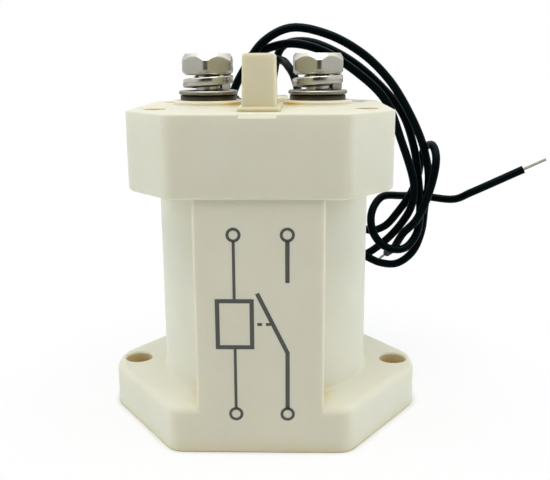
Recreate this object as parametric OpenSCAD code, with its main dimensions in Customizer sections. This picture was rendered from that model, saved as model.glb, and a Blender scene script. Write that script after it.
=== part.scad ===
// Sealed direct current contactor with two screw terminals and two flying leads.
// Millimetres. The origin is the centre of the base's underside, +Z is up,
// the label face looks along -Y and the two terminals stand side by side along X.

/* [Base] */
// Distance between the centres of the two mounting holes
mount_pitch = 56.5; // [56:0.1:57.5]
// Diameter of the mounting holes
mount_hole_d = 5.8; // [5:0.1:6.4]
// Centre of the base to the tip of an ear
base_half_len = 32.7; // [32.4:0.1:33.5]
// Centre of the base to its front edge
base_half_depth = 26; // [25.8:0.1:26.4]
// Half the straight part of the front edge
base_front_half = 17; // [16:0.1:18]
// Half the blunt end of an ear
ear_tip_half = 3.5; // [3:0.1:4.5]
// Thickness of the base
base_h = 9; // [7.5:0.1:10]

/* [Body] */
// Outer radius of the round body
body_r = 21.7; // [21.5:0.05:22]
// Wall of the round body
body_wall = 2; // [1.8:0.1:2.2]
// Thickness of the housing's floor
floor_t = 2.2; // [2:0.1:2.4]
// Half the width of the flat label pad
pad_half = 12.1; // [10:0.1:13]

/* [Cover] */
// Height of the cover's lower rim above the floor
cover_z = 49.4; // [48:0.1:50]
// Height of the cover's top face
top_z = 64.6; // [64.5:0.05:64.8]
// Centre to the cover's end face
cover_half_len = 25.3; // [25:0.1:26]
// Centre to the cover's front face
cover_half_depth = 26.9; // [26.5:0.1:27.5]
// Half the straight part of the cover's front
cover_front_half = 16.2; // [15.5:0.1:17]
// Half the straight part of the cover's end
cover_end_half = 16.5; // [15.5:0.1:17]
// Radius of the round seat about each terminal
boss_r = 7.15; // [7:0.05:7.4]
// Height of that seat
boss_h = 1.1; // [0.9:0.05:1.3]

/* [Terminals] */
// Distance between the two terminals
terminal_pitch = 22.5; // [22.4:0.1:23]
// Radius of the terminal's upper end
terminal_r = 5.75; // [5.6:0.05:5.8]
// Height of the terminal's face above its seat
terminal_proud = 1.15; // [0.8:0.05:1.2]
// Size of the bolt head across its flats
head_flats = 10; // [10:0.5:10.5]
// Height of the bolt head
head_h = 4.25; // [4:0.05:4.6]
// Free height of the split washer
split_h = 3.1; // [2.8:0.05:3.3]
// Thickness of the flat washer
flat_washer_t = 0.8; // [0.7:0.1:1.6]

/* [Barrier] */
// Half the width of the block between the terminals, at its foot
barrier_half = 3.15; // [3:0.05:3.4]
// Front of the block
barrier_front = -20.5; // [-21:0.1:-20]
// Back of the block
barrier_back = -4.5; // [-6:0.1:-4]
// Height of the block's top above the cover
barrier_h = 10.3; // [9:0.1:10.5]

/* [Mechanism] */
// Travel of the plunger
travel = 2.2; // [2:0.05:2.3]
// Open gap between the contacts
contact_gap = 1.7; // [1.6:0.05:1.9]
// Radius of the moving core
core_r = 5.15; // [5.1:0.01:5.16]
// Radius of the shaft
shaft_r = 1.5; // [1.4:0.01:1.5]
// Outer radius of the winding
winding_r = 12; // [11:0.1:12.2]

/* [Leads] */
// Outer diameter of a lead
lead_d = 1.9; // [1.8:0.05:1.9]
// Diameter of the stripped conductor
conductor_d = 0.9; // [0.7:0.05:1]
// Length of the stripped conductor
conductor_len = 5.5; // [4:0.5:6]

/* [Hidden] */

$fn = 96;
arc_steps = 7;
edge_steps = 4;
slip = 0.05;
snug = 0.02;

shell = "#d9d4bf";
steel = "#c9c9c6";
zinc = "#9da2a0";
nickel = "#6d6a60";
copper = "#b87348";
brass = "#c8a04f";
ceramic = "#e9e4da";
magnet_grey = "#4a4b50";
amber = "#3f3a31";
nylon = "#e8e2c8";
enamel = "#8f3f1c";
black_rubber = "#1b1c1e";
lead_black = "#121416";
tinned = "#b9b7af";

// Outlines of the base and the cover, and how round each corner is
base_outline = eight_sided(base_half_len, ear_tip_half, base_front_half, base_half_depth);
base_radii = [8, 8, 4, 4, 8, 8, 4, 4];
base_edge = 1.5;
foot_fillet = 0.8;
pad_edge = 0.8;
hole_chamfer = 0.3;
cover_outline = eight_sided(cover_half_len, cover_end_half, cover_front_half, cover_half_depth);
cover_radii = [for (corner = cover_outline) 3.5];
cover_edge_low = 0.9;
cover_edge_high = 0.35;

// Cored out corners under the base and in the cover
core_wall = 2.4;
core_ring_r = body_r + 1.8;
core_rib = 1.4;
base_core = [9, 14.5];
base_rib_angle = 57;
cover_core = [9, 12.5];
cover_rib_angle = 46;

// Round sinks, pocket, front notch and plinth on the cover's top
sink_x = 20.3;
sink_y = 12.4;
sink_r = 2.3;
sink_depth = 1.5;
pocket_half = 3.6;
pocket_depth = 0.7;
notch_half = 3.4;
notch_drop = 0.75;
notch_run = 1.3;
plinth_half = 5;
plinth_y = [10.5, 21];

// The barrier's foot, the tongue below it and how far its sides lean in
foot_y = [barrier_front - 1.2, barrier_back + 0.8];
foot_half = barrier_half + 0.8;
foot_t = 0.85;
tongue_y = [foot_y[0] + 0.4, foot_y[1] - 0.4];
barrier_draft = 0.25;

// Heights of the inner stack, from the floor up
yoke_t = 2;
yoke_z = floor_t;
bobbin_z = yoke_z + yoke_t;
plate_z = 29.4;
plate_t = 2.4;
guide_z = plate_z + plate_t;
guide_t = 3;
chamber_z = guide_z + guide_t;
roof_z = 55.5;
roof_t = 3;
resin_z = 61.2;
ceiling_z = 62.2;
housing_top = 61.9;

cavity_r = body_r - body_wall;
seat_z = top_z + boss_h;
terminal_top = seat_z + terminal_proud;
flat_top = terminal_top + flat_washer_t;
head_z = flat_top + split_h;
terminal_x = terminal_pitch / 2;
contact_stem_r = 4.4;
bore_r = 2.6;
bore_depth = 12;
shank_r = 2.45;
shank_len = 14;

// The plunger at rest
core_z = bobbin_z + 0.5;
core_len = 11.2;
core_top = core_z + core_len;
core_gap = travel + 0.2;
fixed_z = core_top + core_gap;
spring_pocket_r = 3.4;
spring_pocket = 4;
seat_clip_z = 37.3;
seat_clip_t = 0.7;
bridge_z = 43;
bridge_t = 2;
tip_t = 0.7;
tip_r = 2.8;
contact_z = bridge_z + bridge_t + tip_t + contact_gap;
clip_z = bridge_z + bridge_t + 0.05;
clip_t = 0.7;
clip_groove_r = 1.1;
shaft_top = 46.8;

// The arc chamber and what stands beside it
chamber_half_x = 18;
chamber_half_y = 10;
chamber_wall = 2.2;
chamber_corner = 5;
magnet_t = 3;
magnet_half = 9;
magnet_z = 39;
magnet_h = 13;
flux_t = 1.2;
flux_half = 11.5;

// The coil
sleeve_in = core_r + 0.1;
sleeve_out = sleeve_in + 0.3;
tube_r = 6.8;
flange_r = 12.9;
flange_t = 1.2;
yoke_half_x = 15.6;
yoke_half_y = 9;
tenon_half = 4;
turns_high = 22;

// The copper tube through which the chamber was filled
fill_y = 5.6;
fill_r = 1.25;
fill_top = 60.2;

// Where the leads leave the cover
exit_x = 7.4;
exit_y = 15.5;
blade_w = 1.2;
blade_t = 0.6;
blade_z = 25;
blade_top = 57.2;
grommet_neck_r = 1.55;
grommet_r = 2.2;
grommet_h = 1.2;

// Routes of the two leads, from the blade in the resin over the top, down beside
// the body in loops and on to the stripped end
left_route = [
    [-7.4, 15.5, 57.2], [-7.4, 15.5, 66], [-4.5, 15, 72], [-0.5, 14.5, 77.5],
    [5.5, 14.5, 80.5], [13.5, 14.5, 79.2], [21.5, 15, 75], [28, 17, 69], [33.4, 19.5, 61],
    [36.9, 20.8, 53.5], [38.7, 22.5, 46], [38.3, 24, 38.5], [37.8, 24.7, 32],
    [35.8, 24.7, 27], [32, 24, 24.3], [27.8, 23, 24.7], [24, 22.7, 26.5], [14, 27, 31],
    [4.5, 28.5, 41], [0.5, 28.5, 56], [1.5, 28.5, 70], [3.5, 26.5, 76.5], [9.5, 21, 77.7],
    [17.5, 19.5, 74.5], [25, 20.5, 69], [31.7, 22, 61.5], [34.9, 23, 53.5],
    [36.3, 23.2, 46], [36.8, 21.9, 39], [36, 20.3, 32.8], [32.8, 18.7, 29.4],
    [28.5, 18.3, 29.8], [25.5, 19, 33], [25, 20.5, 37.5], [27.5, 23.3, 41],
    [33, 27.5, 40.7], [39.5, 30, 40], [46, 26.5, 40], [49.5, 24.5, 42], [61, 22, 48]
];
right_route = [
    [7.4, 15.5, 57.2], [7.4, 15.5, 66], [6.4, 17, 70], [4.9, 20.2, 72.4], [3.6, 23.6, 73.5],
    [0.4, 25.1, 74], [-2.9, 23.9, 74], [-4.3, 20.7, 74], [-3.2, 17.5, 74.6], [0, 16.1, 76],
    [5.5, 16.3, 77.2], [12.5, 16.5, 75.7], [21, 17, 70.5], [27.3, 18, 64.5],
    [31.3, 19.2, 55.5], [35, 20.5, 44], [34.5, 21.1, 39], [32.6, 22.1, 35],
    [29.4, 23.8, 30.6], [25, 24.8, 26.8], [21.7, 27.9, 24.7], [19.4, 30.1, 25.8],
    [18.5, 31, 28.9], [19.4, 30.1, 32], [21.7, 27.9, 33.3], [25.3, 26, 32.2],
    [28.8, 24.8, 33.6], [32, 24.4, 37.4], [35, 25.1, 41.8], [36.8, 26.1, 46.3],
    [37.3, 26.4, 50], [38, 24.5, 53], [39, 20.9, 53.9], [39.4, 17.8, 51.5],
    [38.9, 16.9, 47.3], [37.2, 17.2, 40.8], [35.1, 17.8, 36.2], [32.7, 19.6, 33],
    [31.1, 24.2, 28.2], [30, 28.5, 25.8]
];

// Plane outlines with round corners

function unit(v) = v / norm(v);

// Half the angle at corner b between the neighbours a and c
function half_angle(a, b, c) = acos(unit(a - b) * unit(c - b)) / 2;

function inward(a, b, c) = unit(unit(a - b) + unit(c - b));

// Moves every side of a convex outline in by d
function inset_outline(p, d) = let (n = len(p)) [
    for (i = [0 : n - 1])
        let (a = p[(i + n - 1) % n], b = p[i], c = p[(i + 1) % n])
            b + inward(a, b, c) * d / sin(half_angle(a, b, c))
];

function corner_arc(a, b, c, r) = let (
    h = half_angle(a, b, c),
    m = b + inward(a, b, c) * r / sin(h),
    s = b + unit(a - b) * r / tan(h) - m,
    first = atan2(s.y, s.x)
) [
    for (k = [0 : arc_steps])
        let (t = first + (180 - 2 * h) * k / arc_steps)
            m + r * [cos(t), sin(t)]
];

// Rounds corner i of outline p to radius r[i]
function rounded(p, r) = let (n = len(p)) [
    for (i = [0 : n - 1])
        each corner_arc(p[(i + n - 1) % n], p[i], p[(i + 1) % n], r[i])
];

// Eight corners of a block whose ends are cut off at an angle
function eight_sided(end_x, end_y, front_x, front_y) = [
    [end_x, -end_y], [end_x, end_y], [front_x, front_y], [-front_x, front_y],
    [-end_x, end_y], [-end_x, -end_y], [-front_x, -front_y], [front_x, -front_y]
];

function box_outline(x0, x1, y0, y1) = [[x1, y0], [x1, y1], [x0, y1], [x0, y0]];

// Height and inset of each ring of a block with rounded lower and upper edges
function edge_rings(z0, z1, low, high) = [
    if (low > 0)
        for (k = [0 : edge_steps])
            let (t = 90 * k / edge_steps) [z0 + low * (1 - cos(t)), low * (1 - sin(t))],
    if (low == 0) [z0, 0],
    if (high > 0)
        for (k = [0 : edge_steps])
            let (t = 90 * k / edge_steps) [z1 - high * (1 - sin(t)), high * (1 - cos(t))],
    if (high == 0) [z1, 0]
];

// Closed solid through rings that all have n points
module skin(rings, n) {
    m = len(rings);
    polyhedron(
        points = [for (ring = rings) each ring],
        faces = [
            [for (i = [0 : n - 1]) i],
            for (j = [0 : m - 2], i = [0 : n - 1])
                let (k = (i + 1) % n)
                    [j * n + i, (j + 1) * n + i, (j + 1) * n + k, j * n + k],
            [for (i = [0 : n - 1]) m * n - 1 - i]
        ]
    );
}

// Block with rounded edges whose sides lean in by draft from z0 to z1
module soft_block(p, r, z0, z1, low, high, draft = 0) {
    rings = [
        for (e = edge_rings(z0, z1, low, high))
            let (d = e[1] + draft * (e[0] - z0) / (z1 - z0)) [
                for (q = rounded(inset_outline(p, d), [for (v = r) max(v - d, 0.2)]))
                    [q.x, q.y, e[0]]
            ]
    ];
    skin(rings, len(rings[0]));
}

module rounded_plate(x, y, r, z0, z1) {
    translate([0, 0, z0])
        linear_extrude(z1 - z0)
            polygon(rounded(box_outline(-x, x, -y, y), [r, r, r, r]));
}

module disc(r, z0, z1) {
    translate([0, 0, z0])
        cylinder(r = r, h = z1 - z0);
}

module washer(r_in, r_out, z0, z1) {
    difference() {
        disc(r_out, z0, z1);
        disc(r_in, z0 - 1, z1 + 1);
    }
}

// Solid of revolution from a profile of radius and height
module turned(profile) {
    rotate_extrude()
        polygon(profile);
}

module at_side(side, x) {
    translate([side * x, 0, 0])
        children();
}

module mirrored_x() {
    children();
    mirror([1, 0, 0])
        children();
}

module mirrored_y() {
    children();
    mirror([0, 1, 0])
        children();
}

// Tubes that follow a line of points

function path_direction(p, i) =
    let (n = len(p)) unit(p[min(i + 1, n - 1)] - p[max(i - 1, 0)]);

// Carries the normal u over from one ring to the next
function carried(u, t) = unit(u - (u * t) * t);

function path_normals(p, u, i = 0) = let (v = carried(u, path_direction(p, i)))
    i == len(p) - 1 ? [v] : concat([v], path_normals(p, v, i + 1));

module tube(p, r, sides, first_normal) {
    normals = path_normals(p, first_normal);
    rings = [
        for (i = [0 : len(p) - 1])
            let (w = cross(path_direction(p, i), normals[i])) [
                for (k = [0 : sides - 1])
                    let (a = -360 * k / sides) p[i] + r * (cos(a) * normals[i] + sin(a) * w)
            ]
    ];
    skin(rings, sides);
}

// Round wire spring along Z whose end turns lie closer together
module coil_spring(mean_r, wire_r, z0, z1, turns) {
    steps = turns * 14;
    rise = z1 - z0 - 2 * wire_r;
    path = [
        for (i = [0 : steps])
            let (t = i / steps, a = 360 * turns * t, s = t - sin(360 * t) * 0.1)
                [mean_r * cos(a), mean_r * sin(a), z0 + wire_r + rise * s]
    ];
    tube(path, wire_r, 6, [1, 0, 0]);
}

// Housing: base, round body and label pads in one moulding

module body_foot() {
    r = foot_fillet;
    turned([
        [body_r - 1, base_h - 1], [body_r + r, base_h - 1],
        for (k = [0 : 5])
            let (a = 90 * k / 5) [body_r + r - r * sin(a), base_h + r - r * cos(a)],
        [body_r - 1, base_h + r]
    ]);
}

module label_pad() {
    p = box_outline(-pad_half, pad_half, -base_half_depth, 0);
    translate([0, 0, 1])
        linear_extrude(cover_z - 1)
            polygon(rounded(p, [for (corner = p) pad_edge]));
}

// Cored out corners of a moulding, open below and clear of the round wall, with
// a rib left standing in each
module corner_cores(outline, start, rib_angle, z0, z1) {
    mirrored_x() mirrored_y()
        difference() {
            intersection() {
                translate([0, 0, z0])
                    linear_extrude(z1 - z0)
                        polygon(rounded(inset_outline(outline, core_wall),
                            [for (corner = outline) 1.5]));
                translate([start.x, start.y, z0 - 1])
                    cube([40, 40, z1 - z0 + 2]);
            }
            disc(core_ring_r, z0 - 1, z1 + 1);
            rotate([0, 0, rib_angle])
                translate([0, -core_rib / 2, z0 - 1])
                    cube([50, core_rib, z1 - z0 + 2]);
        }
}

module mount_hole() {
    at_side(1, mount_pitch / 2) {
        disc(mount_hole_d / 2, -1, base_h + 1);
        translate([0, 0, base_h - hole_chamfer])
            cylinder(r1 = mount_hole_d / 2, r2 = mount_hole_d / 2 + 2 * hole_chamfer,
                h = 2 * hole_chamfer);
    }
}

module housing() {
    color(shell)
        difference() {
            union() {
                soft_block(base_outline, base_radii, 0, base_h, 0, base_edge);
                disc(body_r, 1, housing_top);
                body_foot();
                intersection() {
                    mirrored_y() label_pad();
                    disc(60, 0, cover_z);
                }
            }
            disc(cavity_r, floor_t, housing_top + 1);
            corner_cores(base_outline, base_core, base_rib_angle, -1, base_h - core_wall);
            mirrored_x() mount_hole();
        }
}

// Cover: inverted cup with seats, corner sinks and the barrier's pocket

module terminal_seat() {
    e = 0.35;
    turned([
        [0, top_z - 0.5], [boss_r + 0.3, top_z - 0.5], [boss_r + 0.3, top_z],
        [boss_r, top_z + 0.3], [boss_r, seat_z - e], [boss_r - e, seat_z], [0, seat_z]
    ]);
}

module rear_plinth() {
    soft_block(box_outline(-plinth_half, plinth_half, plinth_y[0], plinth_y[1]),
        [0.8, 0.8, 0.8, 0.8], top_z - 0.4, seat_z, 0, 0.4);
}

// Sloping notch in the front edge, where the barrier was gated and broken off
module front_notch() {
    y0 = -cover_half_depth - 1;
    slope = notch_drop / notch_run;
    translate([-notch_half, 0, 0])
        rotate([90, 0, 90])
            linear_extrude(2 * notch_half)
                polygon([
                    [y0, top_z - notch_drop - slope], [y0 + 1 + notch_run, top_z],
                    [y0 + 1 + notch_run, top_z + 1], [y0, top_z + 1]
                ]);
}

module cover() {
    color(shell)
        difference() {
            union() {
                soft_block(cover_outline, cover_radii, cover_z, top_z, cover_edge_low, cover_edge_high);
                mirrored_x() at_side(1, terminal_x) terminal_seat();
                rear_plinth();
            }
            disc(body_r + slip, cover_z - 1, ceiling_z);
            corner_cores(cover_outline, cover_core, cover_rib_angle, cover_z - 1, ceiling_z);
            mirrored_x() {
                at_side(1, terminal_x)
                    disc(terminal_r + slip, top_z - 5, seat_z + 1);
                translate([exit_x, exit_y, 0])
                    disc(grommet_neck_r + slip, ceiling_z - 1, seat_z + 1);
                mirrored_y()
                    translate([sink_x, sink_y, 0])
                        disc(sink_r, top_z - sink_depth, top_z + 1);
            }
            translate([-pocket_half, tongue_y[0] - slip, top_z - pocket_depth])
                cube([2 * pocket_half, tongue_y[1] - tongue_y[0] + 2 * slip, 2]);
            front_notch();
        }
}

module barrier() {
    foot_top = top_z + foot_t;
    color(shell) {
        soft_block(box_outline(-barrier_half, barrier_half, barrier_front, barrier_back),
            [0.6, 0.6, 0.6, 0.6], foot_top - 0.3, top_z + barrier_h, 0, 0.6, barrier_draft);
        soft_block(box_outline(-foot_half, foot_half, foot_y[0], foot_y[1]),
            [0.8, 0.8, 0.8, 0.8], top_z, foot_top, 0, 0.4);
        translate([-pocket_half + slip, tongue_y[0], top_z - pocket_depth])
            cube([2 * (pocket_half - slip), tongue_y[1] - tongue_y[0], pocket_depth + 0.3]);
    }
}

// Terminals and their bolts

module terminal() {
    e = 0.3;
    difference() {
        turned([
            [0, contact_z], [contact_stem_r - 0.5, contact_z], [contact_stem_r, contact_z + 0.5],
            [contact_stem_r, roof_z], [terminal_r, roof_z], [terminal_r, terminal_top - e],
            [terminal_r - e, terminal_top], [0, terminal_top]
        ]);
        disc(bore_r, terminal_top - bore_depth, terminal_top + 1);
    }
}

// Cold forged head: its corners are turned off above and below, and a narrow strip
// of the round blank is left at each of them
module hex_bolt(turn) {
    r_corner = head_flats / sqrt(3);
    r_blank = r_corner - 0.25;
    r_face = head_flats / 2 - 0.4;
    low = 0.9;
    high = 1.4;
    rotate([0, 0, turn]) {
        intersection() {
            translate([0, 0, head_z])
                cylinder(r = r_corner, h = head_h, $fn = 6);
            turned([
                [0, head_z], [r_face, head_z], [r_blank, head_z + low],
                [r_blank, head_z + head_h - high], [r_face, head_z + head_h],
                [0, head_z + head_h]
            ]);
        }
        turned([
            [0, head_z + 0.5], [0, head_z - shank_len], [shank_r - 0.5, head_z - shank_len],
            [shank_r, head_z - shank_len + 0.5], [shank_r, head_z + 0.5]
        ]);
    }
}

// Split washer: one open turn of rectangular wire that rises as it goes round
module split_washer(start) {
    r_in = 3.15;
    r_out = 5.15;
    t = 1.7;
    steps = 32;
    sweep = 350;
    rise = split_h - t - 0.05;
    rings = [
        for (i = [0 : steps])
            let (a = start + sweep * i / steps, z = flat_top + 0.02 + rise * i / steps) [
                [r_in * cos(a), r_in * sin(a), z],
                [r_in * cos(a), r_in * sin(a), z + t],
                [r_out * cos(a), r_out * sin(a), z + t],
                [r_out * cos(a), r_out * sin(a), z]
            ]
    ];
    skin(rings, 4);
}

module flat_washer() {
    r_in = 3.2;
    r_out = 6.05;
    e = 0.2;
    turned([
        [r_in, terminal_top], [r_out - e, terminal_top], [r_out, terminal_top + e],
        [r_out, flat_top - e], [r_out - e, flat_top], [r_in, flat_top]
    ]);
}

module terminal_left() { color(nickel) at_side(-1, terminal_x) terminal(); }
module terminal_right() { color(nickel) at_side(1, terminal_x) terminal(); }
module bolt_left() { color(steel) at_side(-1, terminal_x) hex_bolt(31); }
module bolt_right() { color(steel) at_side(1, terminal_x) hex_bolt(31); }
module split_washer_left() { color(steel) at_side(-1, terminal_x) split_washer(32); }
module split_washer_right() { color(steel) at_side(1, terminal_x) split_washer(12); }
module flat_washer_left() { color(steel) at_side(-1, terminal_x) flat_washer(); }
module flat_washer_right() { color(steel) at_side(1, terminal_x) flat_washer(); }

// Contact chamber

module arc_chamber() {
    x = chamber_half_x;
    y = chamber_half_y;
    w = chamber_wall;
    color(ceramic)
        difference() {
            rounded_plate(x, y, chamber_corner, chamber_z, roof_z);
            rounded_plate(x - w, y - w, chamber_corner - w, chamber_z - 1, roof_z - roof_t);
            mirrored_x() at_side(1, terminal_x) disc(contact_stem_r + slip, chamber_z, roof_z + 1);
            translate([0, fill_y, 0]) disc(fill_r + slip, chamber_z, roof_z + 1);
        }
}

module magnet(side) {
    color(magnet_grey)
        mirror([0, side < 0 ? 1 : 0, 0])
            translate([-magnet_half, chamber_half_y + slip, magnet_z])
                cube([2 * magnet_half, magnet_t, magnet_h]);
}

// Steel backing plate with turned in ends that hold its magnet
module flux_plate(side) {
    y0 = chamber_half_y + magnet_t + 2 * slip;
    lip = 0.9;
    color(zinc)
        mirror([0, side < 0 ? 1 : 0, 0]) {
            translate([-flux_half, y0, magnet_z - 1])
                cube([2 * flux_half, flux_t, magnet_h + 2]);
            mirrored_x()
                translate([magnet_half + slip, y0 - 1.5, magnet_z - 1])
                    cube([lip, 1.5 + slip, magnet_h + 2]);
        }
}

module magnet_front() { magnet(-1); }
module magnet_rear() { magnet(1); }
module flux_plate_front() { flux_plate(-1); }
module flux_plate_rear() { flux_plate(1); }

module seal_resin() {
    color(amber)
        difference() {
            disc(cavity_r - slip, roof_z, resin_z);
            mirrored_x() {
                at_side(1, terminal_x) disc(terminal_r + snug, roof_z - 1, resin_z + 1);
                translate([exit_x, exit_y, 0]) {
                    disc(lead_d / 2 + snug, blade_top, resin_z + 1);
                    translate([-blade_w / 2 - snug, -blade_t / 2 - snug, roof_z - 1])
                        cube([blade_w + 2 * snug, blade_t + 2 * snug, blade_top - roof_z + 1]);
                }
            }
            translate([0, fill_y, 0]) disc(fill_r + snug, roof_z - 1, fill_top + snug);
        }
}

// Copper filling tube, pinched shut to a wedge at its top
module fill_tube() {
    z0 = roof_z - roof_t;
    pinch_z = fill_top - 2.2;
    color(copper)
        translate([0, fill_y, 0])
            difference() {
                disc(fill_r, z0, fill_top);
                disc(fill_r - 0.45, z0 - 1, pinch_z);
                mirrored_y()
                    translate([-2, 0.45, pinch_z + 0.5])
                        cube([4, 2, 3]);
            }
}

module guide_plate() {
    w = chamber_wall + 0.1;
    color(nylon)
        difference() {
            union() {
                rounded_plate(chamber_half_x, chamber_half_y, chamber_corner, guide_z, chamber_z);
                rounded_plate(chamber_half_x - w, chamber_half_y - w, chamber_corner - w,
                    chamber_z - 0.5, chamber_z + 0.8);
                disc(4, chamber_z - 0.5, chamber_z + 1.7);
            }
            disc(shaft_r + 0.07, guide_z - 1, chamber_z + 3);
        }
}

// Moving contact set

module contact_bridge() {
    half_len = 14.6;
    half_w = 4;
    color(copper)
        difference() {
            intersection() {
                rounded_plate(half_len, half_w, half_w - 0.05, bridge_z, bridge_z + bridge_t);
                disc(half_len, bridge_z - 1, bridge_z + bridge_t + 1);
            }
            disc(shaft_r + 0.08, bridge_z - 1, bridge_z + bridge_t + 1);
        }
}

module contact_tip(side) {
    z = bridge_z + bridge_t;
    e = 0.25;
    color(tinned)
        at_side(side, terminal_x)
            turned([
                [0, z], [tip_r, z], [tip_r, z + tip_t - e], [tip_r - e, z + tip_t],
                [0, z + tip_t]
            ]);
}

module contact_tip_left() { contact_tip(-1); }
module contact_tip_right() { contact_tip(1); }

module contact_spring() {
    color(steel)
        coil_spring(3.2, 0.45, seat_clip_z + seat_clip_t, bridge_z, 4);
}

module spring_seat() {
    color(zinc)
        washer(shaft_r, 4.3, seat_clip_z, seat_clip_z + seat_clip_t);
}

module retaining_clip() {
    color(zinc)
        rotate([0, 0, 120])
            rotate_extrude(angle = 300)
                translate([clip_groove_r, clip_z])
                    square([2, clip_t]);
}

module shaft() {
    color(steel)
        turned([
            [0, core_z + 0.5], [shaft_r - 0.4, core_z + 0.5], [shaft_r, core_z + 0.9],
            [shaft_r, clip_z], [clip_groove_r, clip_z], [clip_groove_r, clip_z + clip_t],
            [shaft_r, clip_z + clip_t], [shaft_r, shaft_top - 0.4],
            [shaft_r - 0.4, shaft_top], [0, shaft_top]
        ]);
}

module moving_core() {
    e = 0.4;
    color(zinc)
        turned([
            [shaft_r, core_z], [core_r - e, core_z], [core_r, core_z + e], [core_r, core_top - e],
            [core_r - e, core_top], [spring_pocket_r, core_top],
            [spring_pocket_r, core_top - spring_pocket], [shaft_r, core_top - spring_pocket]
        ]);
}

module return_spring() {
    color(steel)
        coil_spring(2.6, 0.3, core_top - spring_pocket, fixed_z + spring_pocket, 6);
}

// Magnet circuit

module fixed_core() {
    e = 0.3;
    bore = shaft_r + 0.3;
    neck = 3.9;
    color(zinc)
        turned([
            [bore, fixed_z + spring_pocket], [spring_pocket_r, fixed_z + spring_pocket],
            [spring_pocket_r, fixed_z], [core_r - e, fixed_z], [core_r, fixed_z + e],
            [core_r, plate_z], [neck, plate_z], [neck, guide_z], [bore, guide_z]
        ]);
}

module core_sleeve() {
    color(steel)
        turned([
            [0, bobbin_z], [sleeve_out, bobbin_z], [sleeve_out, plate_z], [sleeve_in, plate_z],
            [sleeve_in, bobbin_z + 0.4], [0, bobbin_z + 0.4]
        ]);
}

module bobbin() {
    block_half = 10.6;
    block_back = 16.4;
    color(nylon)
        difference() {
            union() {
                turned([
                    [sleeve_out + slip, bobbin_z], [flange_r, bobbin_z],
                    [flange_r, bobbin_z + flange_t], [tube_r, bobbin_z + flange_t],
                    [tube_r, plate_z - flange_t], [flange_r, plate_z - flange_t],
                    [flange_r, plate_z], [sleeve_out + slip, plate_z]
                ]);
                difference() {
                    translate([-block_half, 8, plate_z - 4])
                        cube([2 * block_half, block_back - 8, 4]);
                    disc(flange_r - 0.3, plate_z - 5, plate_z + 1);
                }
            }
            mirrored_x()
                translate([exit_x - blade_w / 2, exit_y - blade_t / 2, blade_z])
                    cube([blade_w, blade_t, 10]);
        }
}

// Winding: each ridge on its outside is one turn of wire, drawn coarse
module winding() {
    z0 = bobbin_z + flange_t + slip;
    z1 = plate_z - flange_t - slip;
    step = (z1 - z0) / turns_high;
    color(enamel)
        turned([
            [tube_r + slip, z0], [winding_r - 0.3, z0],
            for (i = [0 : turns_high - 1])
                each [
                    [winding_r, z0 + (i + 0.3) * step], [winding_r, z0 + (i + 0.7) * step],
                    [winding_r - 0.3, z0 + (i + 1) * step]
                ],
            [tube_r + slip, z1]
        ]);
}

module yoke_frame() {
    arm_h = plate_z - yoke_z;
    color(zinc)
        intersection() {
            union() {
                translate([-yoke_half_x, -yoke_half_y, yoke_z])
                    cube([2 * yoke_half_x, 2 * yoke_half_y, yoke_t]);
                mirrored_x() {
                    translate([yoke_half_x - yoke_t, -yoke_half_y, yoke_z])
                        cube([yoke_t, 2 * yoke_half_y, arm_h]);
                    translate([yoke_half_x - yoke_t, -tenon_half, yoke_z])
                        cube([yoke_t, 2 * tenon_half, arm_h + plate_t]);
                }
            }
            bent_sides();
        }
}

// Side view of the folded frame, with the bends' outer radius at its lower corners
module bent_sides() {
    p = box_outline(-yoke_half_x, yoke_half_x, yoke_z, guide_z);
    translate([0, 30, 0])
        rotate([90, 0, 0])
            linear_extrude(60)
                polygon(rounded(p, [2.4, 0.3, 0.3, 2.4]));
}

module yoke_plate() {
    neck = 3.9;
    color(zinc)
        difference() {
            rounded_plate(yoke_half_x, 10.8, 2, plate_z, guide_z);
            disc(neck, plate_z - 1, guide_z + 1);
            mirrored_x()
                translate([yoke_half_x - yoke_t - slip, -tenon_half - slip, plate_z - 1])
                    cube([yoke_t + 1, 2 * tenon_half + 2 * slip, plate_t + 2]);
        }
}

module coil_blade(side) {
    color(brass)
        at_side(side, exit_x)
            translate([-blade_w / 2, exit_y - blade_t / 2, blade_z])
                cube([blade_w, blade_t, blade_top - blade_z]);
}

module coil_blade_left() { coil_blade(-1); }
module coil_blade_right() { coil_blade(1); }

// Leads

module grommet(side) {
    r_in = lead_d / 2 + snug;
    z0 = ceiling_z + 0.1;
    z1 = top_z + grommet_h / 2;
    z2 = top_z + grommet_h;
    color(black_rubber)
        at_side(side, exit_x)
            translate([0, exit_y, 0])
                turned([
                    [r_in, z0], [grommet_neck_r, z0], [grommet_neck_r, top_z],
                    [grommet_r, top_z], [grommet_r, z1 - 0.2], [grommet_r - 0.2, z1],
                    [grommet_neck_r, z1 + 0.1], [grommet_neck_r - 0.3, z2], [r_in, z2]
                ]);
}

module lead(p) {
    color(lead_black)
        tube(p, lead_d / 2, 8, [1, 0, 0]);
}

// Stripped end that carries on in the direction of the lead's last stretch
module conductor(p) {
    n = len(p);
    along = unit(p[n - 1] - p[n - 2]);
    color(tinned)
        tube([p[n - 1], p[n - 1] + along * conductor_len], conductor_d / 2, 8, [0, 1, 0]);
}

module grommet_left() { grommet(-1); }
module grommet_right() { grommet(1); }
module lead_left() { lead(left_route); }
module lead_right() { lead(right_route); }
module conductor_left() { conductor(left_route); }
module conductor_right() { conductor(right_route); }

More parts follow.
